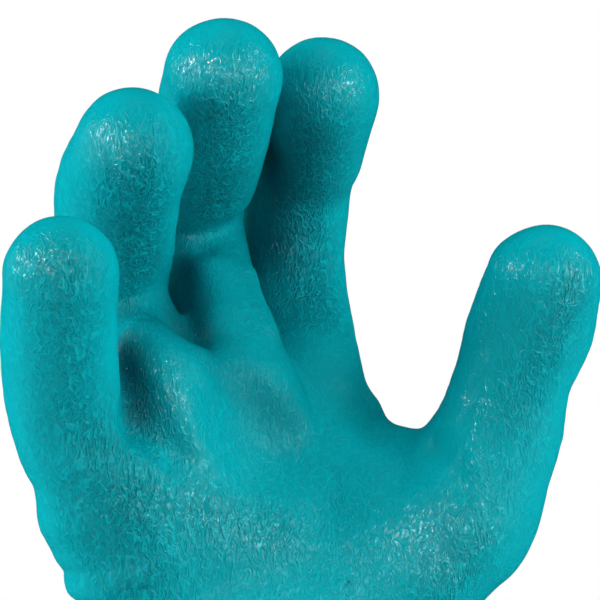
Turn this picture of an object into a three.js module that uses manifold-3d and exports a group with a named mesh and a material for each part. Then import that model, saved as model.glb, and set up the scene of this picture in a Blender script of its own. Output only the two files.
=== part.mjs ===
// Insulated coated glove for the right hand, size 9, with a 300 mm gauntlet.
// It is one dipped skin of PVC on a fleece liner, in the half open form of a hand with the fingers up.
// Millimetres, +Z up: the palm faces -Y, the thumb lies to +X, and the origin is the centre of the
// cuff opening.

import * as THREE from 'three';
import { mergeVertices } from 'three/addons/utils/BufferGeometryUtils.js';
import Module from 'manifold-3d';

// Driving dimensions
const wallThickness = 3;          // coating and bonded liner together
const cuffHeight = 0;             // the cuff's cut edge lies in this plane
const fingerBlend = 2;            // how softly two fingers meet in the crotch between them
const palmBlend = 14;             // how softly the fingers and the thumb run into the palm
const webBlend = 10;              // how softly the web of the thumb runs into both
const stepsPerSection = 3;        // straight steps of a limb between two rows of its table
const coatingColour = '#04949d';
const coatingRoughness = 0.45;

// Each limb is a row of rounded sections on a smooth centre line.
// side is the direction of the half widths, tipRadius the reach of the round end beyond the last
// centre, and squareness 2 is an ellipse, more is boxier. curveTension is the usual one of such lines.
const curveTension = 0.5;
const sectionColumns = ['x', 'y', 'z', 'halfWidth', 'halfThickness'];
const across = [1, 0, 0];
const acrossThumb = [0.788, -0.616, 0];
const upright = [0, 0, 1];

const limbTables = {
  littleFinger: {
    side: across, tipRadius: 14.8, squareness: 2,
    sections: [
      [-37.5, 11.5, 164.5, 11.6, 11.0],
      [-51.9, 9.0, 177.0, 16.0, 14.5],
      [-59.8, 8.8, 189.4, 15.4, 14.0],
      [-63.7, 7.2, 199.4, 15.5, 13.6],
      [-68.8, 1.0, 213.5, 14.8, 14.0],
      [-73.6, -7.6, 227.0, 14.5, 13.7],
    ],
  },
  ringFinger: {
    side: across, tipRadius: 16.2, squareness: 2,
    sections: [
      [-23.5, 8.0, 168.5, 12.0, 12.0],
      [-28.4, 11.8, 186.9, 15.0, 14.5],
      [-31.7, 22.7, 206.4, 14.4, 15.1],
      [-32.1, 30.5, 221.5, 13.4, 14.5],
      [-35.6, 25.9, 235.7, 15.4, 16.2],
      [-42.4, 14.5, 248.5, 16.3, 17.0],
      [-47.0, 0.6, 259.0, 15.2, 15.6],
    ],
  },
  middleFinger: {
    side: across, tipRadius: 15.8, squareness: 2,
    sections: [
      [-6.5, 4.5, 173.0, 12.0, 12.0],
      [-6.3, 9.6, 194.4, 14.8, 14.5],
      [-2.6, 26.4, 216.0, 13.7, 14.5],
      [-1.0, 36.2, 231.7, 13.8, 14.4],
      [-1.6, 38.0, 243.9, 13.9, 14.2],
      [-4.4, 29.7, 253.9, 14.6, 15.0],
      [-11.4, 15.9, 266.9, 15.7, 15.6],
      [-16.8, 3.3, 279.3, 15.6, 15.5],
    ],
  },
  indexFinger: {
    side: across, tipRadius: 15.5, squareness: 2,
    sections: [
      [20.0, 2.0, 172.0, 12.0, 12.0],
      [20.6, 11.1, 193.4, 14.5, 14.5],
      [26.2, 24.2, 208.4, 15.1, 14.9],
      [29.6, 32.7, 222.5, 15.7, 15.0],
      [31.4, 35.4, 236.8, 15.2, 14.8],
      [29.9, 29.9, 252.5, 15.2, 15.0],
      [26.0, 19.5, 265.8, 15.2, 15.5],
      [19.2, 6.9, 277.3, 15.9, 15.6],
    ],
  },
  thumb: {
    side: acrossThumb, tipRadius: 14.8, squareness: 2,
    sections: [
      [8.1, -2.4, 88.7, 19.9, 17.9],
      [16.5, -10.1, 117.7, 19.4, 17.4],
      [25.0, -19.0, 140.4, 17.5, 16.9],
      [30.9, -24.8, 152.7, 17.3, 16.7],
      [38.6, -31.7, 168.0, 17.1, 16.0],
      [43.2, -36.8, 183.9, 17.0, 15.0],
      [45.2, -40.8, 200.0, 15.4, 14.4],
      [46.8, -46.7, 214.5, 16.4, 14.6],
      [45.5, -52.7, 226.0, 15.1, 14.0],
    ],
  },
  web: {
    side: upright, tipRadius: 10, squareness: 2,
    sections: [
      [5.0, 8.0, 164.0, 22.0, 14.0],
      [22.0, -2.0, 161.5, 19.0, 11.0],
      [35.0, -17.0, 162.5, 19.0, 11.0],
      [44.0, -30.0, 167.0, 18.0, 12.0],
    ],
  },
  palm: {
    side: across, tipRadius: 14, squareness: 2.5,
    sections: [
      [0.0, 0.0, -60.0, 52.0, 42.0],
      [0.0, 0.0, 0.0, 50.0, 40.0],
      [-1.6, 0.2, 50.3, 46.9, 36.4],
      [-5.4, 0.8, 95.8, 42.7, 30.8],
      [-7.4, 2.5, 115.9, 40.3, 26.8],
      [-8.2, 6.3, 131.6, 37.1, 22.8],
      [-9.8, 9.9, 147.2, 35.6, 19.9],
      [-17.6, 12.0, 168.0, 45.4, 20.0],
      [-5.0, 10.5, 186.0, 38.0, 18.0],
    ],
  },
};

// Each fold is a soft groove in the skin along a straight stretch, with its depth and half breadth.
// A depth below zero raises a swell in place of a groove.
const foldColumns = ['fromX', 'fromY', 'fromZ', 'toX', 'toY', 'toZ', 'depth', 'halfBreadth'];
const foldTable = [
  [-23.5, 15.5, 224.5, -41.0, 15.5, 214.5, 3.0, 4.5],    // inside of the ring finger's middle joint
  [8.0, 25.0, 245.0, -8.0, 24.0, 236.0, 3.0, 4.5],       // inside of the middle finger's middle joint
  [20.0, 17.5, 244.5, 38.0, 18.5, 249.5, 1.6, 6.0],      // inside of the index finger's middle joint
  [-68.0, -5.5, 185.5, -60.0, -6.0, 182.0, 2.2, 7.0],    // hollow under the little finger
  [-65.0, -2.0, 171.5, -53.0, -4.5, 157.0, 1.6, 7.0],    // hollow down the edge of the palm
  [-46.0, 4.0, 204.0, -47.5, -1.0, 190.0, 6.0, 6.0],     // deep valley beside the little finger
  [-47.5, -1.0, 190.0, -38.0, -5.5, 182.0, 3.0, 5.5],    // that valley's end in the palm
  [-24.5, 14.0, 221.0, -24.0, 11.0, 208.0, 8.0, 5.0],    // deep valley beside the ring finger
  [-23.5, 6.5, 207.5, -8.0, -9.5, 187.0, 4.0, 8.0],      // that valley's end in the palm
  [-24.0, -6.0, 190.0, -8.0, -8.0, 182.0, 5.5, 13.0],    // hollow of the palm
  [21.0, -31.0, 178.0, 18.0, -24.0, 170.0, 2.0, 6.0],    // crease between the palm and the thumb
  [26.5, -33.5, 182.5, 26.5, -42.0, 172.5, 1.5, 4.0],    // fold where the web meets the thumb
  [-41.0, 9.0, 213.0, -38.5, 3.6, 204.8, -3.5, 4.5],     // below the ring finger's middle joint
  [-38.5, 3.6, 204.8, -32.6, -9.0, 185.4, -2.2, 5.0],    // crest from there into the palm
  [-20.0, 17.0, 221.5, -24.0, 6.5, 210.0, -1.8, 4.5],    // edge of the ring finger beside that
  [-11.0, 19.0, 230.0, -11.0, 13.0, 218.0, -3.5, 7.0],   // below the middle finger's middle joint
  [3.0, 15.5, 229.0, 0.5, 4.5, 215.0, -2.2, 5.0],        // edge of the middle finger beside that
  [12.0, -17.0, 166.0, 0.0, -14.0, 140.0, -8.0, 18.0],   // between the palm and the ball of the thumb
  [-14.0, -11.0, 152.0, -8.0, -11.0, 140.0, -5.0, 15.0], // heel
  [30.0, -44.0, 158.0, 26.0, -40.0, 146.0, -2.5, 9.0],   // ball of the thumb
  [31.0, -2.0, 191.0, 30.0, -13.0, 184.0, -3.5, 5.0],    // the palm's edge above the web
];

// The facets lie on a grid. Its upright planes lean with the fingers, and one runs through each gap
// between two fingers: a row gives where these planes and the outermost ones lie at a height.
// Slant is how much further to the side they lie for each millimetre of depth beyond slantCentre.
const slantCentre = 15;
const leanColumns = [
  'z', 'slant', 'littleSide', 'littleRing', 'ringMiddle', 'middleIndex', 'thumbSide',
];
const leanTable = [
  [-18.0, 0.0, -60.0, -36.0, -14.0, 8.0, 60.0],
  [100.0, 0.0, -56.0, -34.0, -14.0, 6.0, 50.0],
  [147.0, 0.0, -64.0, -38.0, -15.0, 6.0, 60.0],
  [170.0, 0.0, -74.0, -42.0, -17.0, 6.0, 66.0],
  [195.0, 0.0, -84.0, -45.5, -17.5, 7.4, 68.0],
  [210.0, 0.0, -88.0, -49.5, -17.4, 10.9, 68.0],
  [222.0, 0.0, -92.0, -52.5, -16.8, 12.9, 68.0],
  [236.0, 0.0, -95.0, -56.0, -17.8, 14.2, 68.0],
  [242.0, 0.0, -96.0, -58.0, -19.5, 13.8, 68.0],
  [250.0, 0.35, -96.0, -60.0, -24.4, 7.0, 66.0],
  [262.0, 0.27, -96.0, -64.0, -27.8, 7.4, 64.0],
  [270.0, 0.24, -96.0, -65.0, -29.6, 5.2, 60.0],
  [279.0, 0.15, -96.0, -66.0, -35.0, 3.4, 58.0],
  [306.0, 0.15, -96.0, -68.0, -38.0, 3.0, 52.0],
];
const outerGrid = {
  cellsBetween: [5, 5, 5, 10],
  deep: { start: -76, runs: [{ end: 58, step: 6 }] },
  up: { start: -18, runs: [{ end: 102, step: 12 }, { end: 150, step: 8 }, { end: 306, step: 6 }] },
};
const innerGrid = {
  cellsBetween: [4, 4, 4, 8],
  deep: { start: -76, runs: [{ end: 58, step: 7 }] },
  up: { start: -18, runs: [{ end: 102, step: 15 }, { end: 152, step: 10 }, { end: 306, step: 7 }] },
};
const outerSkinBottom = -6;       // both skins are made past the cuff, and cut off there
const innerSkinBottom = -12;
const roundingMargin = 1;         // the flat bottom of a skin is left alone up to here above it
const projectionPasses = 4;
const slopeReach = 0.3;           // half the distance over which the slope of a field is measured
const onCentreLine = 1e-6;        // a reach below this counts as a point on a limb's centre line

// Rows of a table as objects with named columns
function named(columns, rows) {
  return rows.map((row) => Object.fromEntries(columns.map((column, index) => [column, row[index]])));
}

// A limb's straight steps, each with its centres, its half sizes and its own three directions
function limbSteps({ side, sections }) {
  const rows = named(sectionColumns, sections);
  const centreLine = new THREE.CatmullRomCurve3(
    rows.map((row) => new THREE.Vector3(row.x, row.y, row.z)), false, 'catmullrom', curveTension,
  );
  const halfSizes = new THREE.SplineCurve(
    rows.map((row) => new THREE.Vector2(row.halfWidth, row.halfThickness)),
  );
  const count = stepsPerSection * (rows.length - 1);
  const steps = [];
  for (let index = 0; index < count; index += 1) {
    const start = centreLine.getPoint(index / count);
    const end = centreLine.getPoint((index + 1) / count);
    const along = end.clone().sub(start);
    const length = along.length();
    along.normalize();
    const sideways = new THREE.Vector3(...side).projectOnPlane(along).normalize();
    const through = along.clone().cross(sideways);
    const startSize = halfSizes.getPoint(index / count);
    const endSize = halfSizes.getPoint((index + 1) / count);
    steps.push({ start, length, along, sideways, through, startSize, endSize });
  }
  return steps;
}

// How far a point lies outside a limb, and less than zero inside it
function limbField(table) {
  const steps = limbSteps(table);
  const { tipRadius, squareness } = table;
  const power = (value) => Math.abs(value) ** squareness;
  const offset = new THREE.Vector3();
  return (point) => {
    let nearest = Infinity;
    for (const step of steps) {
      offset.subVectors(point, step.start);
      const share = THREE.MathUtils.clamp(offset.dot(step.along) / step.length, 0, 1);
      offset.addScaledVector(step.along, -share * step.length);
      const halfWidth = THREE.MathUtils.lerp(step.startSize.x, step.endSize.x, share);
      const halfThickness = THREE.MathUtils.lerp(step.startSize.y, step.endSize.y, share);
      const reach = (
        power(offset.dot(step.sideways) / halfWidth)
        + power(offset.dot(step.through) / halfThickness)
        + power(offset.dot(step.along) / tipRadius)
      ) ** (1 / squareness);
      const distance = reach > onCentreLine
        ? offset.length() * (1 - 1 / reach)
        : -Math.min(halfWidth, halfThickness);
      nearest = Math.min(nearest, distance);
    }
    return nearest;
  };
}

// The lesser of two distances, with a soft fillet where they are alike
function blended(first, second, softness) {
  const share = THREE.MathUtils.clamp(0.5 + (second - first) / (2 * softness), 0, 1);
  return THREE.MathUtils.lerp(second, first, share) - softness * share * (1 - share);
}

// How deep the folds sink the skin at a point, and a skin that lies a wall below, where they are broader
function foldDepth(folds, point, wall) {
  const nearest = new THREE.Vector3();
  let depth = 0;
  for (const fold of folds) {
    fold.stretch.closestPointToPoint(point, true, nearest);
    const share = nearest.distanceTo(point) / (fold.halfBreadth + wall);
    depth += fold.depth * Math.exp(-(share ** 2));
  }
  return depth;
}

// The glove's form: the distance of a point from its outer surface, or from the one that lies a wall
// below, less than zero inside
function gloveField(wall) {
  const fields = Object.fromEntries(
    Object.entries(limbTables).map(([name, table]) => [name, limbField(table)]),
  );
  const folds = named(foldColumns, foldTable).map((fold) => ({
    ...fold,
    stretch: new THREE.Line3(
      new THREE.Vector3(fold.fromX, fold.fromY, fold.fromZ),
      new THREE.Vector3(fold.toX, fold.toY, fold.toZ),
    ),
  }));
  return (point) => {
    let distance = fields.littleFinger(point);
    distance = blended(distance, fields.ringFinger(point), fingerBlend);
    distance = blended(distance, fields.middleFinger(point), fingerBlend);
    distance = blended(distance, fields.indexFinger(point), fingerBlend);
    distance = blended(distance, fields.palm(point), palmBlend);
    distance = blended(distance, fields.web(point), webBlend);
    distance = blended(distance, fields.thumb(point), palmBlend);
    return distance + foldDepth(folds, point, wall) + wall;
  };
}

// Positions of a grid's planes along one axis
function planes({ start, runs }) {
  const positions = [start];
  for (const run of runs) {
    while (positions.at(-1) < run.end) {
      positions.push(positions.at(-1) + run.step);
    }
  }
  return positions;
}

// Positions of the upright planes at one height, which follow the table of leaning planes, and their
// slant there
function leaningPlanes(rows, cellsBetween, height) {
  const above = Math.max(1, rows.findIndex((row) => row.z >= height));
  const [low, high] = [rows[above - 1], rows[above]];
  const share = (height - low.z) / (high.z - low.z);
  const [slant, ...guides] = leanColumns.slice(1).map(
    (column) => THREE.MathUtils.lerp(low[column], high[column], share),
  );
  const positions = [guides[0]];
  cellsBetween.forEach((cells, index) => {
    for (let cell = 1; cell <= cells; cell += 1) {
      positions.push(THREE.MathUtils.lerp(guides[index], guides[index + 1], cell / cells));
    }
  });
  return { positions, slant };
}

// A cell's corners are numbered by three bits, one for each axis, and its edges join two corners.
const axisBits = [1, 2, 4];
const cellCorners = [0, 1, 2, 3, 4, 5, 6, 7];
const cellEdges = axisBits.flatMap((bit) => cellCorners
  .filter((corner) => !(corner & bit))
  .map((corner) => ({ low: corner, high: corner | bit })));

function edgeBetween(first, second) {
  const low = Math.min(first, second);
  const high = Math.max(first, second);
  return cellEdges.findIndex((edge) => edge.low === low && edge.high === high);
}

// Each face of a cell: its four corners in turn, and the edge from each corner to the next
const cellFaces = [0, 1, 2].flatMap((axis) => [0, axisBits[axis]].map((base) => {
  const second = axisBits[(axis + 1) % 3];
  const third = axisBits[(axis + 2) % 3];
  const corners = [base, base | second, base | second | third, base | third];
  const edges = corners.map((corner, index) => edgeBetween(corner, corners[(index + 1) % 4]));
  return { corners, edges };
}));

// Groups a cell's crossed edges by the sheet of surface that they share, as one group number an edge
function sheetsOfCell(inside) {
  const group = cellEdges.map((edge, index) => (inside[edge.low] === inside[edge.high] ? -1 : index));
  const join = (first, second) => {
    const kept = group[first];
    const dropped = group[second];
    group.forEach((value, index) => {
      if (value === dropped) {
        group[index] = kept;
      }
    });
  };
  for (const { corners, edges } of cellFaces) {
    const crossed = edges.filter((edge) => group[edge] >= 0);
    if (crossed.length === 2) {
      join(crossed[0], crossed[1]);
    }
    if (crossed.length === 4) {
      corners.forEach((corner, index) => {
        if (inside[corner]) {
          join(edges[index], edges[(index + 3) % 4]);
        }
      });
    }
  }
  return group;
}

// Moves a point along a field's slope until it lies on the surface
function settle(point, field) {
  const slope = new THREE.Vector3();
  const probe = new THREE.Vector3();
  for (let pass = 0; pass < projectionPasses; pass += 1) {
    for (let axis = 0; axis < 3; axis += 1) {
      const here = point.getComponent(axis);
      const ahead = field(probe.copy(point).setComponent(axis, here + slopeReach));
      const behind = field(probe.copy(point).setComponent(axis, here - slopeReach));
      slope.setComponent(axis, (ahead - behind) / (2 * slopeReach));
    }
    point.addScaledVector(slope, -field(point) / slope.lengthSq());
  }
}

// Closed facets of the surface where a field is zero: one point for each sheet of surface in a cell
// of the grid, and two facets round each edge of the grid that the surface crosses.
function skinOf(field, grid, bottom) {
  const leanRows = named(leanColumns, leanTable);
  const deeps = planes(grid.deep);
  const heights = planes(grid.up);
  const leans = heights.map((height) => leaningPlanes(leanRows, grid.cellsBetween, height));
  const counts = [leans[0].positions.length, deeps.length, heights.length];
  const gridPoint = ([side, deep, up]) => new THREE.Vector3(
    leans[up].positions[side] + leans[up].slant * (deeps[deep] - slantCentre),
    deeps[deep],
    heights[up],
  );
  const pointNumber = (place) => (place[2] * counts[1] + place[1]) * counts[0] + place[0];
  const cutField = (point) => Math.max(field(point), bottom - point.z);
  const values = new Float64Array(counts[0] * counts[1] * counts[2]);
  const everyPlace = (lastPlaces, visit) => {
    for (let up = 0; up < lastPlaces[2]; up += 1) {
      for (let deep = 0; deep < lastPlaces[1]; deep += 1) {
        for (let side = 0; side < lastPlaces[0]; side += 1) {
          visit([side, deep, up]);
        }
      }
    }
  };
  everyPlace(counts, (place) => {
    values[pointNumber(place)] = cutField(gridPoint(place));
  });

  const vertices = [];
  const vertexAt = new Map();
  const cornerPlace = (place, corner) => place.map(
    (index, axis) => index + (corner & axisBits[axis] ? 1 : 0),
  );
  everyPlace(counts.map((count) => count - 1), (place) => {
    const places = cellCorners.map((corner) => cornerPlace(place, corner));
    const cornerValues = places.map((cornerAt) => values[pointNumber(cornerAt)]);
    const inside = cornerValues.map((value) => value < 0);
    if (inside.every((value) => value === inside[0])) {
      return;
    }
    const group = sheetsOfCell(inside);
    for (const sheet of new Set(group.filter((value) => value >= 0))) {
      const middle = new THREE.Vector3();
      let crossings = 0;
      cellEdges.forEach(({ low, high }, edge) => {
        if (group[edge] !== sheet) {
          return;
        }
        const share = cornerValues[low] / (cornerValues[low] - cornerValues[high]);
        middle.add(gridPoint(places[low]).lerp(gridPoint(places[high]), share));
        crossings += 1;
        vertexAt.set(pointNumber(place) * cellEdges.length + edge, vertices.length);
      });
      middle.divideScalar(crossings);
      if (middle.z > bottom + roundingMargin) {
        settle(middle, field);
      }
      vertices.push(middle);
    }
  });

  const triangles = [];
  everyPlace(counts.map((count) => count - 1), (place) => {
    for (let axis = 0; axis < 3; axis += 1) {
      const next = (axis + 1) % 3;
      const last = (axis + 2) % 3;
      const beyond = [...place];
      beyond[axis] += 1;
      const insideHere = values[pointNumber(place)] < 0;
      const insideBeyond = values[pointNumber(beyond)] < 0;
      if (insideHere === insideBeyond) {
        continue;
      }
      const ring = [[0, 0], [1, 0], [1, 1], [0, 1]].map(([backNext, backLast]) => {
        const cell = [...place];
        cell[next] -= backNext;
        cell[last] -= backLast;
        const low = backNext * axisBits[next] + backLast * axisBits[last];
        const edge = edgeBetween(low, low | axisBits[axis]);
        return vertexAt.get(pointNumber(cell) * cellEdges.length + edge);
      });
      if (!insideHere) {
        ring.reverse();
      }
      const [first, second, third, fourth] = ring;
      const straight = vertices[first].distanceTo(vertices[third]);
      const crossing = vertices[second].distanceTo(vertices[fourth]);
      if (straight < crossing) {
        triangles.push(first, second, third, first, third, fourth);
      } else {
        triangles.push(second, third, fourth, second, fourth, first);
      }
    }
  });
  return { vertices, triangles };
}

const wasm = await Module();
wasm.setup();

function solidOf(positions, triangles) {
  return new wasm.Manifold(new wasm.Mesh({
    numProp: 3,
    vertProperties: Float32Array.from(positions),
    triVerts: Uint32Array.from(triangles),
  }));
}

function solidOfSkin({ vertices, triangles }) {
  return solidOf(vertices.flatMap((vertex) => vertex.toArray()), triangles);
}

// A solid block that takes away all that lies below the cuff's edge
function belowCuff() {
  const width = 400;
  const depth = 60;
  const box = new THREE.BoxGeometry(width, width, depth);
  box.translate(0, 0, cuffHeight - depth / 2);
  box.deleteAttribute('normal');
  box.deleteAttribute('uv');
  const block = mergeVertices(box);
  return solidOf(block.getAttribute('position').array, block.getIndex().array);
}

// The glove's skin: the outer form less the hollow, cut off flat at the cuff
function gloveShell() {
  const outer = skinOf(gloveField(0), outerGrid, outerSkinBottom);
  const inner = skinOf(gloveField(wallThickness), innerGrid, innerSkinBottom);
  const shell = solidOfSkin(outer)
    .subtract(solidOfSkin(inner))
    .subtract(belowCuff());
  const { vertProperties, triVerts } = shell.getMesh();
  const geometry = new THREE.BufferGeometry();
  geometry.setAttribute('position', new THREE.BufferAttribute(Float32Array.from(vertProperties), 3));
  geometry.setIndex(new THREE.BufferAttribute(Uint32Array.from(triVerts), 1));
  geometry.computeVertexNormals();
  const coating = new THREE.MeshStandardMaterial({
    color: coatingColour,
    roughness: coatingRoughness,
    metalness: 0,
  });
  const mesh = new THREE.Mesh(geometry, coating);
  mesh.name = 'glove_shell';
  return mesh;
}

const glove = new THREE.Group();
glove.add(gloveShell());

export default glove;
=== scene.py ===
import math

import bpy
import numpy as np
from mathutils import Matrix, Vector, noise


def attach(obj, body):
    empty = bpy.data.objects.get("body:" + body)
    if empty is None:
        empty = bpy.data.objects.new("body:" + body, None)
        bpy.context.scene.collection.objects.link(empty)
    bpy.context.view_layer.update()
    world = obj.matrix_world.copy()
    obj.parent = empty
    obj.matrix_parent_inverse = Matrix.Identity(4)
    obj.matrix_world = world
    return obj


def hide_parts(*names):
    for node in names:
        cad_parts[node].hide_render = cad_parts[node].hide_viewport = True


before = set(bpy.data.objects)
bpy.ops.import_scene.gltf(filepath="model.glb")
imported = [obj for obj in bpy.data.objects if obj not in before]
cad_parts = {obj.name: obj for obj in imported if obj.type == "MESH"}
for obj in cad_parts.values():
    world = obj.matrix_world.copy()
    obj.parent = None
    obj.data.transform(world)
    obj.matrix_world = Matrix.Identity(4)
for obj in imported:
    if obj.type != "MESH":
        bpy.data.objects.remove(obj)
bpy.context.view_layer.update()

# An insulated coated glove for the right hand: one dipped skin of coating on a bonded fleece liner.
# The tables are in millimetres, in the frame of the CAD solid. Blender's objects are in metres.
MM = 0.001

# Sizes of the skin
WALL = 3.0                      # coating and bonded liner together
COATING_AT_CUT = 1.2            # how much of the wall is coating, where the cuff is cut
LINER_STARTS = -1.0             # faces that lie deeper in the wall than this are liner
CUFF_HEIGHT = 0.0               # the cuff's cut edge lies in this plane
FINGER_BLEND = 2.0              # how softly two fingers meet in the crotch between them
PALM_BLEND = 14.0               # how softly the fingers and the thumb run into the palm
WEB_BLEND = 10.0                # how softly the web of the thumb runs into both
SWELLS = [(16.0, 0.45), (6.0, 0.18)]            # size and height of the skin's shallow swells
CUFF_PLAIN = 20.0               # the swells fade out this close to the cut edge
SMOOTH_BELOW = 50.0             # edges that turn by less than this, in degrees, are shaded smooth

# How the meshes are made
STEPS_PER_SECTION = 4           # straight steps of a limb between two rows of its table
RING_SIDES = 32                 # sides of a rough form's rings
TIP_RINGS = (30, 55, 75)        # where the rings of a rough form's round tip lie, in degrees
FORM_INSET = 0.7                # how far the rough form lies inside the skin that it becomes
CUT_ALLOWANCE = 20.0            # how far the rough form goes on below the cuff's cut edge
CUT_FACETS = 2                  # how many facets' breadth stays below the cut edge until the last
OUTER_GRAIN = 1.32       # size of the outer skin's facets
INNER_GRAIN = 2.8        # size of the inner face's facets
SETTLE_STEP = 2.0               # a point moves no further than this in one pass
SETTLED = 0.01                  # a point is on the form when it is off by less than this
SLOPE_STEP = 0.01               # distance between two looks at the field, for its slope
LEAST_REACH = 1e-6              # stands in for nothing, for a point on a limb's own line
RIM_PASSES = 3                  # passes that bring the cut edge's points onto their outline

ACROSS = (1.0, 0.0, 0.0)
ACROSS_THUMB = (0.788, -0.616, 0.0)
UPRIGHT = (0.0, 0.0, 1.0)

# Each limb is a row of rounded sections: x, y, z of the centre, half width, half thickness.
# side is the direction of the half widths, tip the reach of the round end beyond the last centre,
# and squareness 2 is an ellipse, more is boxier.
LIMBS = {
    "little": dict(side=ACROSS, tip=14.8, squareness=2.0, sections=[
        (-37.5, 11.5, 164.5, 11.6, 11.0),
        (-51.9, 9.0, 177.0, 16.0, 14.5),
        (-59.8, 8.8, 189.4, 15.4, 14.0),
        (-63.7, 7.2, 199.4, 15.5, 13.6),
        (-68.8, 1.0, 213.5, 14.8, 14.0),
        (-73.6, -7.6, 227.0, 14.5, 13.7),
    ]),
    "ring": dict(side=ACROSS, tip=16.2, squareness=2.0, sections=[
        (-23.5, 8.0, 168.5, 12.0, 12.0),
        (-28.4, 11.8, 186.9, 15.0, 14.5),
        (-31.7, 22.7, 206.4, 14.4, 15.1),
        (-32.1, 30.5, 221.5, 13.4, 14.5),
        (-35.6, 25.9, 235.7, 15.4, 16.2),
        (-42.4, 14.5, 248.5, 16.3, 17.0),
        (-47.0, 0.6, 259.0, 15.2, 15.6),
    ]),
    "middle": dict(side=ACROSS, tip=15.8, squareness=2.0, sections=[
        (-6.5, 4.5, 173.0, 12.0, 12.0),
        (-6.3, 9.6, 194.4, 14.8, 14.5),
        (-2.6, 26.4, 216.0, 13.7, 14.5),
        (-1.0, 36.2, 231.7, 13.8, 14.4),
        (-1.6, 38.0, 243.9, 13.9, 14.2),
        (-4.4, 29.7, 253.9, 14.6, 15.0),
        (-11.4, 15.9, 266.9, 15.7, 15.6),
        (-16.8, 3.3, 279.3, 15.6, 15.5),
    ]),
    "index": dict(side=ACROSS, tip=15.5, squareness=2.0, sections=[
        (20.0, 2.0, 172.0, 12.0, 12.0),
        (20.6, 11.1, 193.4, 14.5, 14.5),
        (26.2, 24.2, 208.4, 15.1, 14.9),
        (29.6, 32.7, 222.5, 15.7, 15.0),
        (31.4, 35.4, 236.8, 15.2, 14.8),
        (29.9, 29.9, 252.5, 15.2, 15.0),
        (26.0, 19.5, 265.8, 15.2, 15.5),
        (19.2, 6.9, 277.3, 15.9, 15.6),
    ]),
    "palm": dict(side=ACROSS, tip=14.0, squareness=2.5, sections=[
        (0.0, 0.0, -60.0, 52.0, 42.0),
        (0.0, 0.0, 0.0, 50.0, 40.0),
        (-1.6, 0.2, 50.3, 46.9, 36.4),
        (-5.4, 0.8, 95.8, 42.7, 30.8),
        (-7.4, 2.5, 115.9, 40.3, 26.8),
        (-8.2, 6.3, 131.6, 37.1, 22.8),
        (-9.8, 9.9, 147.2, 35.6, 19.9),
        (-17.6, 12.0, 168.0, 45.4, 20.0),
        (-5.0, 10.5, 186.0, 38.0, 18.0),
    ]),
    "web": dict(side=UPRIGHT, tip=10.0, squareness=2.0, sections=[
        (5.0, 8.0, 164.0, 22.0, 14.0),
        (22.0, -2.0, 161.5, 19.0, 11.0),
        (35.0, -17.0, 162.5, 19.0, 11.0),
        (44.0, -30.0, 167.0, 18.0, 12.0),
    ]),
    "thumb": dict(side=ACROSS_THUMB, tip=14.8, squareness=2.0, sections=[
        (8.1, -2.4, 88.7, 19.9, 17.9),
        (16.5, -10.1, 117.7, 19.4, 17.4),
        (25.0, -19.0, 140.4, 17.5, 16.9),
        (30.9, -24.8, 152.7, 17.3, 16.7),
        (38.6, -31.7, 168.0, 17.1, 16.0),
        (43.2, -36.8, 183.9, 17.0, 15.0),
        (45.2, -40.8, 200.0, 15.4, 14.4),
        (46.8, -46.7, 214.5, 16.4, 14.6),
        (45.5, -52.7, 226.0, 15.1, 14.0),
    ]),
}

# How softly each limb joins those named before it
BLENDS = [
    ("ring", FINGER_BLEND), ("middle", FINGER_BLEND), ("index", FINGER_BLEND),
    ("palm", PALM_BLEND), ("web", WEB_BLEND), ("thumb", PALM_BLEND),
]

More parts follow.
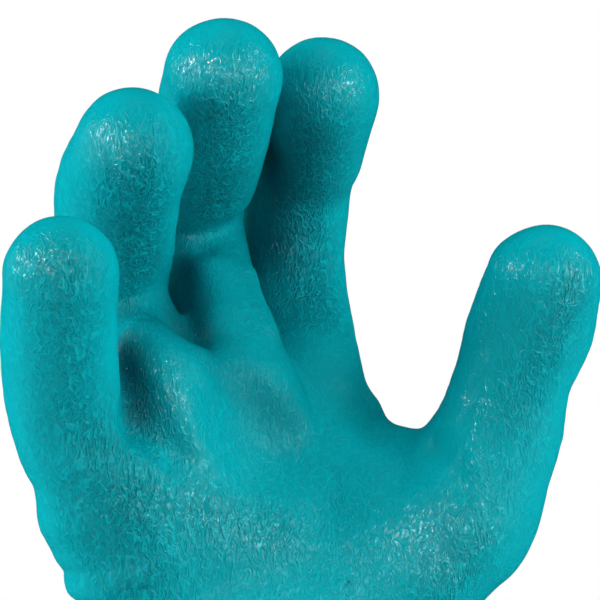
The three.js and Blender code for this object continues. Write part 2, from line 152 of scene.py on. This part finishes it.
# Folds along straight stretches: from x, y, z, to x, y, z, depth, half breadth. A depth below zero
# is a raised ridge.
FOLDS = [
    (-23.5, 15.5, 224.5, -41.0, 15.5, 214.5, 3.0, 4.5),     # inside of the ring finger's middle joint
    (8.0, 25.0, 245.0, -8.0, 24.0, 236.0, 3.0, 4.5),        # inside of the middle finger's middle joint
    (20.0, 17.5, 244.5, 38.0, 18.5, 249.5, 1.6, 6.0),       # inside of the index finger's middle joint
    (-68.0, -5.5, 185.5, -60.0, -6.0, 182.0, 2.2, 7.0),     # hollow under the little finger
    (-65.0, -2.0, 171.5, -53.0, -4.5, 157.0, 1.6, 7.0),     # hollow down the edge of the palm
    (-46.0, 4.0, 204.0, -47.5, -1.0, 190.0, 6.0, 6.0),      # deep valley beside the little finger
    (-47.5, -1.0, 190.0, -38.0, -5.5, 182.0, 3.0, 5.5),     # that valley's end in the palm
    (-24.5, 14.0, 221.0, -24.0, 11.0, 208.0, 8.0, 5.0),     # deep valley beside the ring finger
    (-23.5, 6.5, 207.5, -8.0, -9.5, 187.0, 6.0, 8.0),       # that valley's end in the palm
    (-41.0, 9.0, 213.0, -38.5, 3.6, 204.8, -3.5, 4.5),      # swell below the ring finger's middle joint
    (-38.5, 3.6, 204.8, -32.6, -9.0, 185.4, -2.2, 5.0),     # crest from the ring finger into the palm
    (-11.0, 19.0, 230.0, -11.0, 13.0, 218.0, -3.5, 7.0),    # swell below the middle finger's middle joint
    (-24.0, -6.0, 190.0, -8.0, -8.0, 182.0, 5.5, 13.0),     # hollow of the palm
    (12.0, -17.0, 166.0, 0.0, -14.0, 140.0, -8.0, 18.0),    # swell from the palm to the ball of the thumb
    (-14.0, -11.0, 152.0, -8.0, -11.0, 140.0, -5.0, 15.0),  # swell of the heel
    (30.0, -44.0, 158.0, 26.0, -40.0, 146.0, -2.5, 9.0),    # swell of the ball of the thumb
    (21.0, -31.0, 178.0, 18.0, -24.0, 170.0, 2.0, 6.0),     # crease between the palm and the thumb
    (31.0, -2.0, 191.0, 30.0, -13.0, 184.0, -3.5, 5.0),     # swell of the palm's edge above the web
    (26.5, -33.5, 182.5, 26.5, -42.0, 172.5, 1.5, 4.0),     # fold where the web meets the thumb
    (3.0, 15.5, 229.0, 0.5, 4.5, 215.0, -2.2, 5.0),         # swell down the middle finger's near side
    (-20.0, 17.0, 221.5, -24.0, 6.5, 210.0, -1.8, 4.5),     # swell down the ring finger's near side
]

# The three tables below say where the coating differs, and the last where shade is painted on it: from x,
# y, z, to x, y, z, half breadth, strength.

# Where the skin is more crinkled than elsewhere, or below zero smoother; its grooves take painted shade
# in the same measure
CRINKLE_EVERYWHERE = 0.3
CRINKLED = [
    (-80.0, -18.0, 226.0, -64.0, -5.0, 190.0, 9.0, 0.45),   # little finger
    (-53.0, -9.0, 252.0, -38.0, 8.0, 226.0, 9.0, 0.78),     # ring finger
    (-22.0, -5.0, 270.0, -9.0, 15.0, 246.0, 9.0, 0.7),      # middle finger
    (13.0, 2.0, 268.0, 24.0, 16.0, 246.0, 9.0, 0.65),       # index finger
    (27.0, 18.0, 232.0, 24.0, 14.0, 218.0, 9.0, 0.55),      # index finger's root
    (43.0, -66.0, 224.0, 37.0, -52.0, 192.0, 7.0, 0.45),    # thumb
    (-60.0, -4.0, 172.0, -48.0, -4.0, 150.0, 11.0, 0.55),   # heel
    (25.0, -44.0, 160.0, 22.0, -42.0, 146.0, 10.0, 0.4),    # ball of the thumb
    (-47.0, -7.0, 172.0, -14.0, -15.0, 160.0, 9.0, 0.35),   # middle of the palm
    (-44.0, 5.0, 200.0, -42.0, 0.0, 186.0, 8.0, 0.3),       # beside the little finger
    (-60.0, -15.0, 228.0, -58.0, -10.0, 206.0, 7.0, -0.28),  # little finger's right side
    (-79.0, -16.0, 243.0, -70.0, -18.0, 240.0, 6.0, -0.28),  # little fingertip
    (-55.0, -6.0, 276.0, -48.0, -6.0, 275.0, 7.0, -0.28),   # ring fingertip
    (-24.0, -5.0, 295.0, -17.0, -5.0, 294.0, 7.0, -0.28),   # middle fingertip
    (13.0, -2.0, 292.0, 20.0, -1.0, 291.0, 7.0, -0.28),     # index fingertip
    (39.0, -60.0, 241.0, 46.0, -62.0, 239.0, 7.0, -0.28),   # thumb's tip
    (31.0, -46.0, 208.0, 26.0, -35.0, 184.0, 8.0, -0.2),    # thumb's left side and the web
]

# Where the coating is glossy, the rest having a duller skin
GLOSSED = [
    (-88.0, -11.0, 228.0, -84.0, -15.0, 234.0, 7.0, 1.0),   # little fingertip
    (-62.0, -3.0, 264.0, -60.0, -7.0, 258.0, 7.0, 1.0),     # ring fingertip
    (-32.0, -2.0, 281.0, -28.0, -7.0, 282.0, 7.0, 1.0),     # middle fingertip's left side
    (-17.0, -12.0, 280.0, -17.0, -11.0, 274.0, 5.0, 0.8),   # middle fingertip's front
    (17.0, -6.0, 285.0, 18.0, -8.0, 280.0, 7.0, 0.8),       # index fingertip
    (30.0, -54.0, 229.0, 32.0, -56.0, 229.0, 4.0, 0.5),     # thumb's tip
    (45.0, -67.0, 228.0, 42.0, -63.0, 214.0, 5.0, 1.0),     # thumb's right side
    (31.0, -50.5, 221.0, 30.0, -43.0, 195.0, 3.0, 0.9),     # line down the thumb's left side
    (30.0, -43.0, 195.0, 27.0, -40.0, 178.0, 3.0, 0.9),     # that line's lower half
    (-47.0, -7.0, 172.0, -14.0, -15.0, 160.0, 7.0, 0.9),    # middle of the palm
    (19.0, -38.0, 162.0, 29.0, -46.0, 150.0, 11.0, 1.0),    # ball of the thumb
    (-40.0, -1.5, 206.0, -30.5, -8.0, 181.5, 3.5, 0.9),     # fold beside the little finger
]

# Painted shade: where the coating is darkened in the deep creases and between the fingers, as shade falls
# there
PAINTED_SHADE_IN_CREASES = [
    (12.0, 20.0, 260.0, 15.0, 26.0, 236.0, 9.0, 0.9),       # between the middle and index fingers
    (5.0, -1.0, 278.0, 9.0, 5.0, 263.0, 8.0, 0.4),          # index finger beside the middle finger
    (-23.0, -2.0, 206.0, -4.0, -6.0, 190.0, 6.0, 0.3),      # valley from the ring finger's root
    (-15.0, 25.0, 232.0, -24.0, 8.0, 211.0, 6.0, 0.9),      # between the ring and middle fingers
    (-44.0, 8.0, 206.0, -44.0, 3.0, 194.0, 6.0, 0.9),       # beside the little finger
]

# The coating's relief and finish
BROAD_RIDGES = (1.45, 7)        # size of the noise whose middle line is a ridge, and sharpness
NARROW_RIDGES = (0.95, 5)
NARROW_SHARE = 0.5              # how high the narrow ridges are beside the broad ones
RIDGE_STRETCH = (1.0, 1.0, 0.36)                # the ridges run longer up and down the glove
SWAY_SCALE = 0.46               # how often the ridges wander aside, in cells to the millimetre
SWAY = 1.6                      # how far they wander
CRINKLE_HEIGHT = 0.54           # how high the ridges are where the skin is fully crinkled
FINE_GRAIN = 0.6                # size of the finest grain
FINE_HEIGHT = 0.06              # and its height
TINT_PATCH = 14.0               # size of the faint patches of paler coating
PAINTED_SHADE_IN_GROOVES = 0.8              # how far the grooves are darkened with painted shade where the skin is fully crinkled
DULL = (0.26, 0.07)             # roughness and specular level of the plain skin
GLOSSY = (0.15, 0.5)            # and of the glossy patches
GLOSS_ON_RIDGES = 0.8           # the share of a glossy patch's gloss that only its ridges have

# The liner's relief
TUFT = 1.6
TUFT_HEIGHT = 0.9

# Colours
TEAL = (0.0006, 0.39, 0.45, 1.0)
PALE_TEAL = (0.0006, 0.43, 0.495, 1.0)
# painted shade in the crinkle's grooves
PAINTED_SHADE_TEAL_OF_GROOVES = (0.0003, 0.13, 0.16, 1.0)
# painted shade in the deep creases
PAINTED_SHADE_TEAL_OF_CREASES = (0.0003, 0.085, 0.118, 1.0)
FLEECE_SHADE = (0.48, 0.45, 0.39, 1.0)
FLEECE = (0.80, 0.78, 0.72, 1.0)
PAPER_SHADE = (0.80, 0.80, 0.80, 1.0)
PAPER = (0.84, 0.84, 0.84, 1.0)
WHITE = (1.0, 1.0, 1.0, 1.0)

# Floor, room and camera, in metres
FLOOR_RADIUS = 1.0
FLOOR_SIDES = 96
FLOOR_DEPTH = 0.001             # how far the floor lies below the cuff's cut edge
ROOM_LIGHT = 0.01               # how much light the white room itself gives
ROOM_SEEN = 1.0                 # how white it is to the camera
VIEW_TURN = math.radians(38)
CAMERA_PLACE = (-0.3694, -0.4808, 0.221)
CAMERA_LENS = 136.8
CAMERA_SENSOR = 36.0
FORWARD = Vector((math.sin(VIEW_TURN), math.cos(VIEW_TURN), 0.0))
RIGHT = Vector((math.cos(VIEW_TURN), -math.sin(VIEW_TURN), 0.0))
UP = Vector((0.0, 0.0, 1.0))
AIM = Vector((0.0, 0.0, 0.22))  # the lights are placed around this point

SOFTBOXES = [
    # name, across, above, distance, width, height, power, lit by it, mirrored in the coat
    ("left_key", -72, 5, 1.1, 0.3, 0.4, 9.0, True, False),
    ("left_rim", -108, 8, 1.1, 0.3, 0.4, 1.5, True, False),
    ("left_high", -72, 28, 1.1, 0.3, 0.3, 1.4, True, False),
    ("left_upper", -68, 22, 1.1, 0.2, 0.2, 8.5, False, True),
    ("front_top", -22, 61, 1.1, 0.3, 0.4, 3.6, True, False),
    ("right_side", 87, 5, 1.1, 0.3, 0.4, 3.6, True, False),
    ("right_top", 54, 29, 1.1, 0.3, 0.4, 5.2, True, False),
    ("right_upper", 76, 38, 1.1, 0.15, 0.15, 1.6, False, True),
    ("right_low", 72, -14, 0.7, 0.2, 0.1, 0.9, True, False),
    ("line_gleam", -75, -2, 1.1, 0.04, 0.3, 0.8, False, True),
    ("right_gleam", 58, -14, 0.7, 0.15, 0.08, 0.7, False, True),
    ("palm_gleam", 57, 14, 1.1, 0.2, 0.3, 4.4, False, True),
    ("front_gleam", 4, 10, 1.1, 0.2, 0.2, 8.0, False, True),
    ("overhead", 60, 86, 1.1, 0.6, 0.6, 2.0, True, False),
]


# The form as a field of distances

def smooth_line(rows, steps):
    """Points on the smooth curve through the rows, a set number of steps between two of them."""
    rows = np.asarray(rows, float)
    padded = np.vstack([2 * rows[0] - rows[1], rows, 2 * rows[-1] - rows[-2]])
    points = []
    for index in range(len(rows) - 1):
        before, start, end, after = padded[index:index + 4]
        for step in range(steps):
            share = step / steps
            points.append(0.5 * (
                2 * start + (end - before) * share
                + (2 * before - 5 * start + 4 * end - after) * share ** 2
                + (3 * start - before - 3 * end + after) * share ** 3
            ))
    points.append(rows[-1])
    return np.array(points)


class Limb:
    """A limb's straight steps, and how far points lie outside them."""

    REACH = 24.0                # points further off than this from the limb's box count as far away
    FAR = 90.0

    def __init__(self, side, tip, squareness, sections):
        line = smooth_line(sections, STEPS_PER_SECTION)
        self.centres, self.half_sizes = line[:, :3], line[:, 3:]
        self.tip, self.squareness = tip, squareness
        runs = np.diff(self.centres, axis=0)
        self.lengths = np.linalg.norm(runs, axis=1)
        self.along = runs / self.lengths[:, None]
        self.sideways = np.asarray(side) - self.along * (self.along @ np.asarray(side))[:, None]
        self.sideways /= np.linalg.norm(self.sideways, axis=1)[:, None]
        self.through = np.cross(self.along, self.sideways)
        margin = self.half_sizes.max() + self.REACH
        self.low, self.high = self.centres.min(0) - margin, self.centres.max(0) + margin

    def distance(self, points):
        """How far points lie outside the nearest of the limb's steps."""
        far = np.full(len(points), self.FAR)
        near = ((points > self.low) & (points < self.high)).all(1)
        close = points[near]
        nearest = np.full(len(close), self.FAR)
        for index, length in enumerate(self.lengths):
            offset = close - self.centres[index]
            share = np.clip(offset @ self.along[index] / length, 0, 1)
            offset -= share[:, None] * (length * self.along[index])
            start, end = self.half_sizes[index], self.half_sizes[index + 1]
            half = start + share[:, None] * (end - start)
            reach = (
                np.abs(offset @ self.sideways[index] / half[:, 0]) ** self.squareness
                + np.abs(offset @ self.through[index] / half[:, 1]) ** self.squareness
                + np.abs(offset @ self.along[index] / self.tip) ** self.squareness
            ) ** (1 / self.squareness)
            reach = np.maximum(reach, LEAST_REACH)
            nearest = np.minimum(nearest, np.linalg.norm(offset, axis=1) * (1 - 1 / reach))
        far[near] = nearest
        return far

    def rings(self, inset):
        """Centre, step and half sizes of each ring of the rough form, with a round tip."""
        rings = []
        last = len(self.lengths) - 1
        for index in range(last + 2):
            if self.centres[index, 2] > CUFF_HEIGHT - CUT_ALLOWANCE:
                rings.append((self.centres[index], min(index, last), self.half_sizes[index] - inset))
        for angle in TIP_RINGS:
            turn = math.radians(angle)
            centre = self.centres[-1] + self.along[-1] * (self.tip - inset) * math.sin(turn)
            rings.append((centre, last, (self.half_sizes[-1] - inset) * math.cos(turn)))
        return rings


limbs = {name: Limb(**table) for name, table in LIMBS.items()}


def blended(first, second, softness):
    """The lesser of two distances, with a soft fillet where they are alike."""
    share = np.clip(0.5 + (second - first) / (2 * softness), 0, 1)
    return second + (first - second) * share - softness * share * (1 - share)


def along_stretch(points, start, end):
    """How far points lie from a straight stretch."""
    start, run = np.asarray(start), np.asarray(end) - np.asarray(start)
    share = np.clip((points - start) @ run / (run @ run), 0, 1)
    return np.linalg.norm(points - start - share[:, None] * run, axis=1)


def glove_field(points, wall=0.0):
    """How far points lie outside the glove's outer form, in millimetres, less than zero inside.

    With a wall it is the form that lies so far below, where each fold is broader by the wall."""
    distance = limbs["little"].distance(points)
    for name, softness in BLENDS:
        distance = blended(distance, limbs[name].distance(points), softness)
    for *ends, depth, half_breadth in FOLDS:
        away = along_stretch(points, ends[:3], ends[3:])
        distance = distance + depth * np.exp(-(away / (half_breadth + wall)) ** 2)
    return distance + wall


def steepest(points, wall, values):
    """The field's direction and steepness at points where its values are known."""
    slopes = np.empty_like(points)
    for axis in range(3):
        beside = points.copy()
        beside[:, axis] += SLOPE_STEP
        slopes[:, axis] = (glove_field(beside, wall) - values) / SLOPE_STEP
    return slopes


# Meshes as arrays

def points_of(mesh):
    """The mesh's points in millimetres."""
    flat = np.empty(len(mesh.vertices) * 3)
    mesh.vertices.foreach_get("co", flat)
    return flat.reshape(-1, 3) / MM


def put_points(mesh, points):
    """Moves the mesh's points to new places, given in millimetres."""
    mesh.vertices.foreach_set("co", (np.asarray(points) * MM).ravel())
    mesh.update()


def normals_of(mesh):
    """The direction in which the skin faces at each point."""
    flat = np.empty(len(mesh.vertices) * 3)
    mesh.vertex_normals.foreach_get("vector", flat)
    return flat.reshape(-1, 3)


def neighbour_means(mesh, values):
    """The mean of each point's neighbours."""
    ends = np.empty(len(mesh.edges) * 2, int)
    mesh.edges.foreach_get("vertices", ends)
    first, second = ends.reshape(-1, 2).T
    sums = np.zeros_like(values)
    np.add.at(sums, first, values[second])
    np.add.at(sums, second, values[first])
    counts = np.bincount(ends, minlength=len(values))
    return sums / np.maximum(counts, 1)[:, None]


def relaxed(mesh, points, share):
    """Evens out the spacing of a mesh's points along its surface."""
    normals = normals_of(mesh)
    drift = neighbour_means(mesh, points) - points
    drift -= normals * (drift * normals).sum(1)[:, None]
    return points + share * drift


# Making the two skins

def only(piece):
    """Selects one object alone."""
    bpy.ops.object.select_all(action="DESELECT")
    piece.select_set(True)
    bpy.context.view_layer.objects.active = piece


def add_ring(ring, limb):
    """Adds one ring of the rough form, turned square to its limb and at its size."""
    centre, step, half = ring
    turn = Matrix((limb.sideways[step], limb.through[step], limb.along[step])).transposed()
    place = Vector(centre) * MM
    bpy.ops.mesh.primitive_circle_add(
        vertices=RING_SIDES, radius=MM, location=place, rotation=turn.to_euler(),
    )
    bpy.ops.transform.resize(
        value=(half[0], half[1], 1.0), center_override=place,
        orient_type="GLOBAL", orient_matrix_type="GLOBAL", orient_matrix=turn,
    )


def rough_limb(name, limb, inset):
    """A limb as rings that are bridged, with both ends filled."""
    bpy.ops.object.select_all(action="DESELECT")
    rings = limb.rings(inset)
    add_ring(rings[0], limb)
    piece = bpy.context.object
    piece.name = name
    bpy.ops.object.transform_apply(location=True, rotation=True, scale=True)
    bpy.ops.object.mode_set(mode="EDIT")
    bpy.ops.mesh.select_all(action="DESELECT")
    for ring in rings[1:]:
        add_ring(ring, limb)
    bpy.ops.mesh.select_all(action="SELECT")
    bpy.ops.mesh.bridge_edge_loops()
    bpy.ops.mesh.select_all(action="SELECT")
    bpy.ops.mesh.fill_holes(sides=0)
    bpy.ops.mesh.select_all(action="SELECT")
    bpy.ops.mesh.normals_make_consistent(inside=False)
    bpy.ops.object.mode_set(mode="OBJECT")
    return piece


def one_skin(piece, grain):
    """Melts all that is in a piece into one closed skin of even facets."""
    only(piece)
    remesh = piece.modifiers.new("one skin", "REMESH")
    remesh.mode = "VOXEL"
    remesh.voxel_size = grain * MM
    bpy.ops.object.modifier_apply(modifier=remesh.name)


def settle(piece, wall, passes, evening=0.6):
    """Moves a skin's points onto the form along the form's own slope."""
    mesh = piece.data
    for _ in range(passes):
        points = relaxed(mesh, points_of(mesh), evening)
        off = glove_field(points, wall)
        astray = np.abs(off) > SETTLED
        slopes = steepest(points[astray], wall, off[astray])
        steps = np.clip(off[astray], -SETTLE_STEP, SETTLE_STEP) / (slopes ** 2).sum(1)
        points[astray] -= slopes * steps[:, None]
        put_points(mesh, points)


def trim(piece, height):
    """Cuts away all that lies below a height."""
    only(piece)
    bpy.ops.object.mode_set(mode="EDIT")
    bpy.ops.mesh.select_all(action="SELECT")
    bpy.ops.mesh.bisect(
        plane_co=(0.0, 0.0, height * MM), plane_no=(0.0, 0.0, 1.0), clear_inner=True,
    )
    bpy.ops.object.mode_set(mode="OBJECT")


def skin(name, wall, grain):
    """The form's skin, or the one that lies a wall below, cut off flat at the cuff and open there."""
    inset = FORM_INSET + wall
    parts = [rough_limb(f"{name}_{part}", limb, inset) for part, limb in limbs.items()]
    bpy.ops.object.select_all(action="DESELECT")
    for part in parts:
        part.select_set(True)
    piece = parts[0]
    bpy.context.view_layer.objects.active = piece
    bpy.ops.object.join()
    piece.name = name
    one_skin(piece, grain)
    settle(piece, wall, passes=4)
    one_skin(piece, grain)
    trim(piece, CUFF_HEIGHT - CUT_FACETS * grain)
    settle(piece, wall, passes=3)
    settle(piece, wall, passes=2, evening=0.0)
    trim(piece, CUFF_HEIGHT)
    return piece


def swollen(piece):
    """Gives the outer skin the shallow swells that a dipped and worn skin has."""
    mesh = piece.data
    points, normals = points_of(mesh), normals_of(mesh)
    lift = np.zeros(len(points))
    for wave, height in SWELLS:
        lift += height * np.array([noise.noise(Vector(point) / wave) for point in points])
    free = np.clip(points[:, 2] / CUFF_PLAIN, 0, 1)
    put_points(mesh, points + normals * (lift * free)[:, None])


def cut_ring(piece, wall):
    """Turns the skin's edge in at the cuff, to show how thick the coating is there."""
    only(piece)
    bpy.ops.object.mode_set(mode="EDIT")
    bpy.ops.mesh.select_mode(type="EDGE")
    bpy.ops.mesh.select_all(action="DESELECT")
    bpy.ops.mesh.select_non_manifold()
    bpy.ops.mesh.extrude_edges_move()
    bpy.ops.object.mode_set(mode="OBJECT")
    points = points_of(piece.data)
    picked = np.array([vertex.select for vertex in piece.data.vertices])
    edge = points[picked]
    for _ in range(RIM_PASSES):
        values = glove_field(edge, wall)
        slopes = steepest(edge, wall, values) * (1, 1, 0)
        edge -= slopes * (values / (slopes ** 2).sum(1))[:, None]
    points[picked] = edge
    put_points(piece.data, points)


def glove_of(outside, inside):
    """One closed wall from the two skins, with its cut edge bridged."""
    cut_ring(outside, COATING_AT_CUT)
    only(inside)
    bpy.ops.object.mode_set(mode="EDIT")
    bpy.ops.mesh.select_all(action="SELECT")
    bpy.ops.mesh.flip_normals()
    bpy.ops.object.mode_set(mode="OBJECT")
    only(outside)
    inside.select_set(True)
    bpy.ops.object.join()
    bpy.ops.object.mode_set(mode="EDIT")
    bpy.ops.mesh.select_all(action="DESELECT")
    bpy.ops.mesh.select_non_manifold()
    bpy.ops.mesh.bridge_edge_loops()
    bpy.ops.mesh.select_all(action="SELECT")
    bpy.ops.mesh.normals_make_consistent(inside=False)
    bpy.ops.object.mode_set(mode="OBJECT")
    bpy.ops.object.shade_smooth_by_angle(angle=math.radians(SMOOTH_BELOW))
    return outside


def face_material(piece):
    """The coating on the outside, and the liner inside from the cut edge on."""
    mesh = piece.data
    level = glove_field(points_of(mesh))
    for face in mesh.polygons:
        face.material_index = int(max(level[corner] for corner in face.vertices) < LINER_STARTS)


def paint(piece, name, everywhere, stretches):
    """Keeps a number from 0 to 1 at each point, by how near it lies to a table's stretches."""
    points = points_of(piece.data)
    values = np.full(len(points), everywhere)
    for *ends, half_breadth, strength in stretches:
        away = along_stretch(points, ends[:3], ends[3:])
        values += strength * np.exp(-(away / half_breadth) ** 2)
    kept = piece.data.attributes.new(name, "FLOAT", "POINT")
    kept.data.foreach_set("value", np.clip(values, 0, 1).astype(np.float32))


# Finishes

class Value:
    """A node's output. Sums on it add Math nodes."""

    def __init__(self, finish, socket):
        self.finish, self.socket = finish, socket

    def maths(self, operation, *others):
        """Adds a Math node whose first number is this one."""
        return self.finish.node("Math", {"operation": operation}, [self, *others])

    def __add__(self, other):
        return self.maths("ADD", other)

    __radd__ = __add__

    def __mul__(self, other):
        return self.maths("MULTIPLY", other)

    __rmul__ = __mul__

    def __sub__(self, other):
        return self.maths("SUBTRACT", other)

    def __rsub__(self, other):
        return self.finish.node("Math", {"operation": "SUBTRACT"}, [other, self])

    def __abs__(self):
        return self.maths("ABSOLUTE")

    def most(self, other):
        """The greater of the two."""
        return self.maths("MAXIMUM", other)


class Finish:
    """A material that is built from nodes."""

    def __init__(self, name):
        self.material = bpy.data.materials.new(name)
        self.material.use_nodes = True
        self.tree = self.material.node_tree
        self.tree.nodes.clear()

    def node(self, kind, settings=None, inputs=(), output=0):
        """Adds a node, with its settings first and its inputs by number or by name."""
        made = self.tree.nodes.new("ShaderNode" + kind)
        for name, value in (settings or {}).items():
            setattr(made, name, value)
        named = inputs.items() if isinstance(inputs, dict) else enumerate(inputs)
        for key, value in named:
            if isinstance(value, Value):
                self.tree.links.new(value.socket, made.inputs[key])
            elif value is not None:
                made.inputs[key].default_value = value
        return Value(self, made.outputs[output]) if len(made.outputs) else made

    def place(self):
        """Object coordinates in millimetres."""
        return self.scaled(self.node("TexCoord", output="Object"), 1 / MM)

    def painted(self, name):
        """A number that is kept at each point of the mesh."""
        return self.node("Attribute", {"attribute_name": name}, output="Fac")

    def scaled(self, place, share):
        """A place or a push, longer or shorter by one number."""
        return self.node("VectorMath", {"operation": "SCALE"}, {0: place, "Scale": share})

    def stretched(self, place, shares):
        """A place with each of its three numbers scaled by its own share."""
        return self.node("VectorMath", {"operation": "MULTIPLY"}, [place, shares])

    def moved(self, place, push):
        """A place pushed aside."""
        return self.node("VectorMath", {"operation": "ADD"}, [place, push])

    def wandering(self, place, scale):
        """Soft noise with a number of its own for each of three directions."""
        return self.node("TexNoise", {}, {"Vector": place, "Scale": scale, "Detail": 1.0}, "Color")

    def grain(self, place, size, detail=0.0, sway=0.0, roughness=0.5):
        """Soft noise about 0.5, whose cells are size millimetres wide."""
        return self.node("TexNoise", {"noise_dimensions": "3D"}, {
            "Vector": place, "Scale": 1 / size, "Detail": detail,
            "Roughness": roughness, "Distortion": sway,
        })

    def ridges(self, place, size, sharpness, detail=0.0):
        """1 along the lines where soft noise crosses 0.5, falling to 0 beside them."""
        return (1 - abs(self.grain(place, size, detail) - 0.5) * sharpness).most(0.0)

    def mixed(self, share, first, second):
        """The first colour, going over to the second with the share."""
        return self.node("Mix", {"data_type": "RGBA"}, {0: share, 6: first, 7: second}, 2)

    def surface(self, relief, colour, roughness, specular, sheen=0.0):
        """One Principled surface, with its relief in millimetres."""
        normal = self.node("Bump", {}, {"Strength": 1.0, "Distance": MM, "Height": relief})
        return self.node("BsdfPrincipled", {}, {
            "Base Color": colour, "Roughness": roughness, "Specular IOR Level": specular,
            "Sheen Weight": sheen, "Normal": normal,
        })

    def done(self, surface):
        """The finished material."""
        self.node("OutputMaterial", {}, [surface])
        return self.material


def coating():
    """Teal PVC with a fine crinkle, with painted shade in its grooves and deep creases. How crinkled,
    glossy and darkened by painted shade it is comes from the mesh.
    """
    finish = Finish("coating")
    place = finish.place()
    crinkle = finish.painted("crinkle")
    sway = finish.scaled(finish.wandering(place, SWAY_SCALE), SWAY)
    swayed = finish.moved(finish.stretched(place, RIDGE_STRETCH), sway)
    broad = finish.ridges(swayed, *BROAD_RIDGES)
    narrow = finish.ridges(swayed, *NARROW_RIDGES, detail=1.0)
    ridges = broad.most(narrow * NARROW_SHARE)
    fine = finish.grain(place, FINE_GRAIN, detail=1.0)
    relief = ridges * crinkle * CRINKLE_HEIGHT + fine * FINE_HEIGHT
    patches = finish.grain(place, TINT_PATCH, detail=2.0)
    colour = finish.mixed(patches, TEAL, PALE_TEAL)
    # painted shade: the crinkle's grooves and the deep creases are darkened, as shade falls there
    colour = finish.mixed((1 - ridges) * crinkle * PAINTED_SHADE_IN_GROOVES, colour, PAINTED_SHADE_TEAL_OF_GROOVES)
    colour = finish.mixed(finish.painted("painted_crease_shade"), colour, PAINTED_SHADE_TEAL_OF_CREASES)
    dull = finish.surface(relief, colour, *DULL)
    glossy = finish.surface(relief, colour, *GLOSSY)
    gleaming = finish.painted("glossed") * (ridges * GLOSS_ON_RIDGES + (1 - GLOSS_ON_RIDGES))
    return finish.done(finish.node("MixShader", {}, [gleaming, dull, glossy]))


def liner():
    """Off-white brushed fleece."""
    finish = Finish("liner")
    tufts = finish.grain(finish.place(), TUFT, detail=3.0, sway=1.5, roughness=0.65)
    colour = finish.mixed(tufts, FLEECE_SHADE, FLEECE)
    return finish.done(finish.surface(tufts * TUFT_HEIGHT, colour, 0.95, 0.2, sheen=0.3))


def pale_paper():
    """Matt, nearly white paper for the floor."""
    finish = Finish("pale floor")
    speckle = finish.grain(finish.place(), 3.0, detail=2.0)
    colour = finish.mixed(speckle, PAPER_SHADE, PAPER)
    return finish.done(finish.surface(speckle * 0.05, colour, 0.9, 0.5))


# The glove

outer = skin("glove", 0.0, OUTER_GRAIN)
inner = skin("glove_inside", WALL, INNER_GRAIN)
swollen(outer)
glove = glove_of(outer, inner)
glove.data.materials.clear()
glove.data.materials.append(coating())
glove.data.materials.append(liner())
face_material(glove)
paint(glove, "crinkle", CRINKLE_EVERYWHERE, CRINKLED)
paint(glove, "glossed", 0.0, GLOSSED)
# painted shade in the deep creases
paint(glove, "painted_crease_shade", 0.0, PAINTED_SHADE_IN_CREASES)
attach(glove, "root")
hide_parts("glove_shell")


# Floor, light and camera, turned as the photograph's are

bpy.ops.object.select_all(action="DESELECT")
bpy.ops.mesh.primitive_circle_add(
    vertices=FLOOR_SIDES, radius=FLOOR_RADIUS, fill_type="NGON", location=(0.0, 0.0, -FLOOR_DEPTH),
)
floor = bpy.context.object
floor.name = "floor"
bpy.ops.object.transform_apply(location=True, rotation=True, scale=True)
floor.data.materials.append(pale_paper())
# The paper is not mirrored in the coat, as the photograph's white surround is not.
floor.visible_glossy = False


def softbox(name, across, above, distance, width, height, power, lit, mirrored):
    """An area light, placed by its angles seen from the glove: across from the camera's side to the
    right, and above. Some only light the coat, and some are only mirrored in it."""
    across, above = math.radians(across), math.radians(above)
    way = (
        -FORWARD * math.cos(across) * math.cos(above)
        + RIGHT * math.sin(across) * math.cos(above)
        + UP * math.sin(above)
    )
    lamp = bpy.data.lights.new(name, "AREA")
    lamp.shape = "RECTANGLE"
    lamp.size, lamp.size_y = width, height
    lamp.energy = power
    light = bpy.data.objects.new(name, lamp)
    light.visible_diffuse = lit
    light.visible_glossy = mirrored
    bpy.context.scene.collection.objects.link(light)
    light.location = AIM + way * distance
    light.rotation_euler = way.to_track_quat("Z", "Y").to_euler()


for row in SOFTBOXES:
    softbox(*row)

room = bpy.data.worlds.new("white room")
bpy.context.scene.world = room
room.use_nodes = True
background = room.node_tree.nodes["Background"]
background.inputs["Color"].default_value = WHITE
path = room.node_tree.nodes.new("ShaderNodeLightPath")
strength = room.node_tree.nodes.new("ShaderNodeMapRange")
strength.inputs["To Min"].default_value = ROOM_LIGHT
strength.inputs["To Max"].default_value = ROOM_SEEN
room.node_tree.links.new(path.outputs["Is Camera Ray"], strength.inputs["Value"])
room.node_tree.links.new(strength.outputs[0], background.inputs["Strength"])

eye = bpy.data.cameras.new("photo_view")
eye.sensor_width = CAMERA_SENSOR
eye.lens = CAMERA_LENS
camera = bpy.data.objects.new("photo_view", eye)
bpy.context.scene.collection.objects.link(camera)
camera.location = CAMERA_PLACE
camera.rotation_euler = (math.radians(90), 0.0, -VIEW_TURN)
bpy.context.scene.camera = camera
bpy.context.scene.view_settings.view_transform = "Standard"
